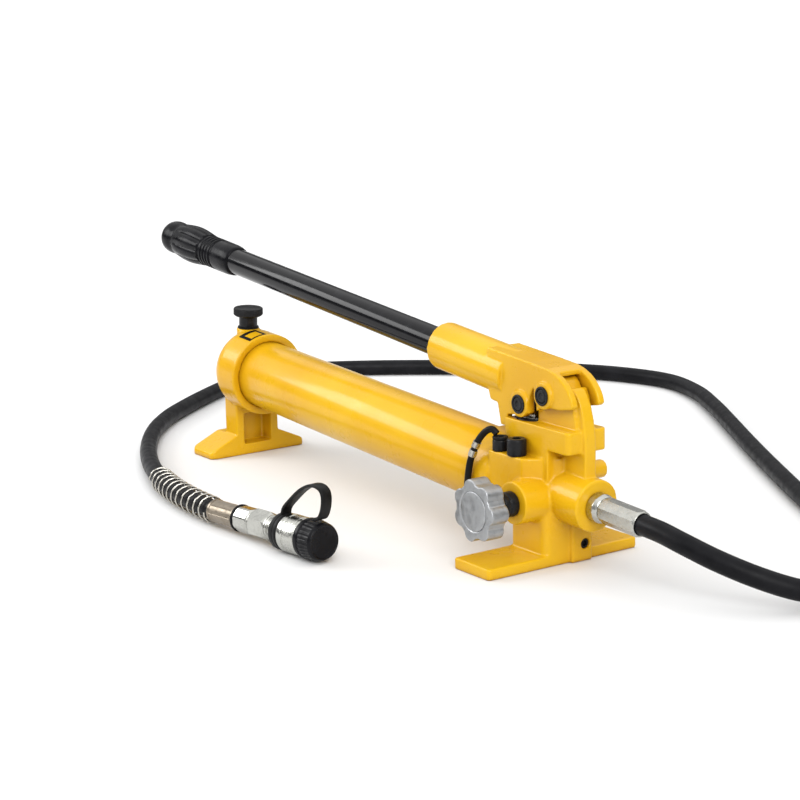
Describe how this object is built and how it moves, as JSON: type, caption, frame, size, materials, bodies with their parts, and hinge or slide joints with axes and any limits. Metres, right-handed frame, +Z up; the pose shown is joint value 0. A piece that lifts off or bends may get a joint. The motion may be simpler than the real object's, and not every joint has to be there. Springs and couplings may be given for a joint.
{
  "type": "hydraulic hand pump",
  "caption": "Two-stage hydraulic hand pump with a tubular oil reservoir, a side lever handle, a release valve, a high-pressure hose and a capped quick coupler.",
  "frame": {"origin": "on the underside of the front base plate, in the pump's centre plane below the middle of the pump head", "axes": "+X along the reservoir towards the outlet and hose, +Y to the side away from the release knob, +Z up"},
  "size_m": [1.0553, 0.741, 0.2285],
  "materials": {
    "yellow_paint": "glossy paint over rough castings",
    "black_steel": "blackened steel, satin",
    "handle_black": "glossy black coated tube",
    "grip_plastic": "moulded grip, satin",
    "zinc_steel": "turned, zinc plated",
    "bright_steel": "nickel plated",
    "knob_cast": "cast, tumbled",
    "black_rubber": "moulded rubber",
    "seal_rubber": "nitrile",
    "ferrule_tan": "passivated, slightly yellow",
    "cap_plastic": "moulded",
    "ptfe": "smooth"
  },
  "bodies": {
    "pump": {"pump_head": "yellow_paint", "tank_tube": "yellow_paint", "rear_cap": "yellow_paint", "front_tank_seal": "seal_rubber", "rear_tank_seal": "seal_rubber", "tie_rod": "zinc_steel", "tie_rod_nut": "zinc_steel", "suction_tube": "zinc_steel", "suction_strainer": "zinc_steel", "gland_nut": "zinc_steel", "plunger_seal": "seal_rubber", "check_balls": "zinc_steel", "check_springs": "zinc_steel", "relief_balls": "zinc_steel", "relief_springs": "zinc_steel", "rear_relief_plug": "black_steel", "front_relief_plug": "black_steel", "gauge_port_plug": "black_steel", "far_port_plug": "black_steel", "release_gland": "black_steel", "release_ball": "zinc_steel", "handle_strap": "black_rubber", "strap_clip": "zinc_steel", "outlet_adapter": "zinc_steel", "hose_stem": "zinc_steel", "hose": "black_rubber", "spring_guard": "zinc_steel", "hose_ferrule": "ferrule_tan", "lock_ring": "black_steel", "swivel_nut": "zinc_steel", "end_hexagon": "bright_steel", "coupler_body": "bright_steel", "coupler_seal": "seal_rubber", "cap_ring": "black_rubber", "cap_strap": "black_rubber"},
    "lever": {"lever_yoke": "yellow_paint", "handle_rod": "handle_black", "handle_grip": "grip_plastic", "handle_set_screw": "black_steel", "fulcrum_pin": "black_steel", "drive_pin": "black_steel", "pin_rings": "black_steel"},
    "plunger": {"plunger": "bright_steel", "piston_ring": "ptfe"},
    "release_valve": {"release_stem": "black_steel", "release_knob": "knob_cast", "knob_disc": "knob_cast"},
    "filler": {"filler_cap": "black_steel", "filler_seal": "seal_rubber"},
    "collar": {"coupler_collar": "bright_steel"},
    "cap": {"dust_cap": "cap_plastic"}
  },
  "joints": [
    {"name": "lever_hinge", "type": "hinge", "parent": "pump", "child": "lever", "pos_m": [0.0116, 0, 0.145], "axis": [0, 1, 0], "range_deg": [0, 30]},
    {"name": "plunger_slide", "type": "slide", "parent": "pump", "child": "plunger", "axis": [0, 0, 1], "range_m": [0, 0.018]},
    {"name": "release_turn", "type": "hinge", "parent": "pump", "child": "release_valve", "pos_m": [0.0072, -0.075, 0.0565], "axis": [0, -1, 0], "range_deg": [0, 270]},
    {"name": "filler_turn", "type": "hinge", "parent": "pump", "child": "filler", "pos_m": [-0.49674, 0, 0.13091], "axis": [0.0576, 0, 0.9983], "range_deg": [0, 720]},
    {"name": "collar_turn", "type": "hinge", "parent": "pump", "child": "collar", "pos_m": [-0.1384, -0.16863, 0.018], "axis": [0.9969, 0.0732, 0.0297], "continuous": true},
    {"name": "cap_pull", "type": "slide", "parent": "pump", "child": "cap", "axis": [0.9969, 0.0732, 0.0297], "range_m": [0, 0.03]}
  ],
  "couplings": [
    {"joint": "plunger_slide", "follows": "lever_hinge", "m_per_rad": 0.03325}
  ]
}
